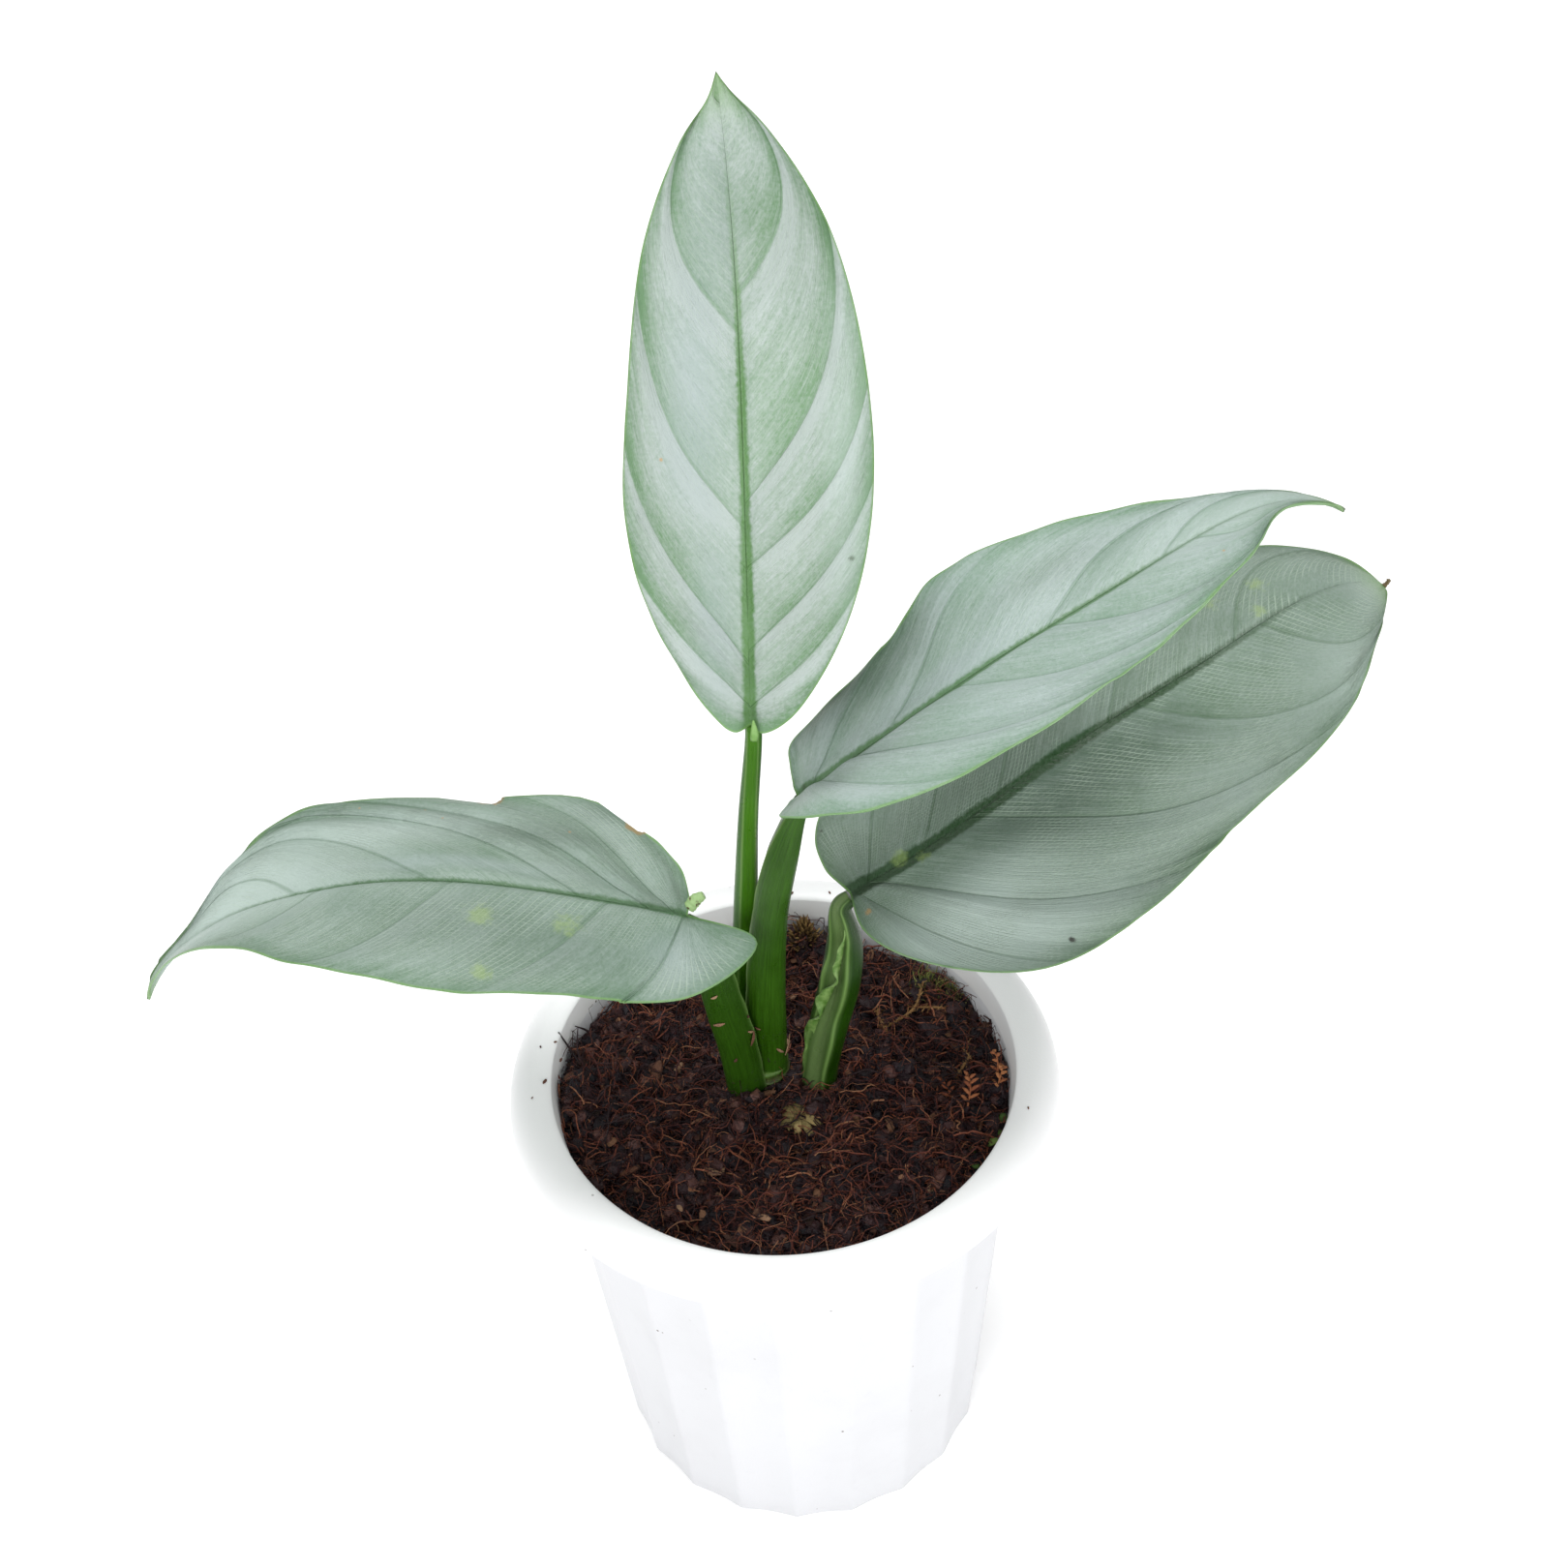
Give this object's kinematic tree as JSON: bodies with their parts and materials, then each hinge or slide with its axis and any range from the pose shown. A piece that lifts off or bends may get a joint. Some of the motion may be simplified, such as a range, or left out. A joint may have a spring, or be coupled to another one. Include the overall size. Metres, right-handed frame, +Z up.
{
  "type": "potted philodendron hastatum",
  "caption": "Young silver-leaved climbing aroid with arrow-shaped blades on sheathed green stalks, standing in peaty soil in a white fluted plastic nursery pot.",
  "frame": {"origin": "middle of the pot's flat underside, on the surface it stands on", "axes": "+Z up along the pot's axis; +Y away from the picture's viewer; +X to the viewer's right, towards the two right-hand leaves"},
  "size_m": [0.3416, 0.1606, 0.3935],
  "materials": {
    "pot": "smooth white injection-moulded plastic with a soft sheen",
    "soil": "crumbly dark peat and coir with bark chips, matte",
    "stem": "smooth green stem with leaf scars",
    "petiole": "smooth waxy green stalk",
    "leaf": "silvery grey-green leaf with a waxy satin sheen and fine veins"
  },
  "bodies": {
    "root": {"pot": "pot", "soil": "soil", "stem": "stem", "petiole_upright": "petiole", "petiole_upper": "petiole", "petiole_lower": "petiole", "petiole_left": "petiole", "leaf_upright": "leaf", "leaf_upper": "leaf", "leaf_lower": "leaf", "leaf_left": "leaf"}
  },
  "joints": []
}
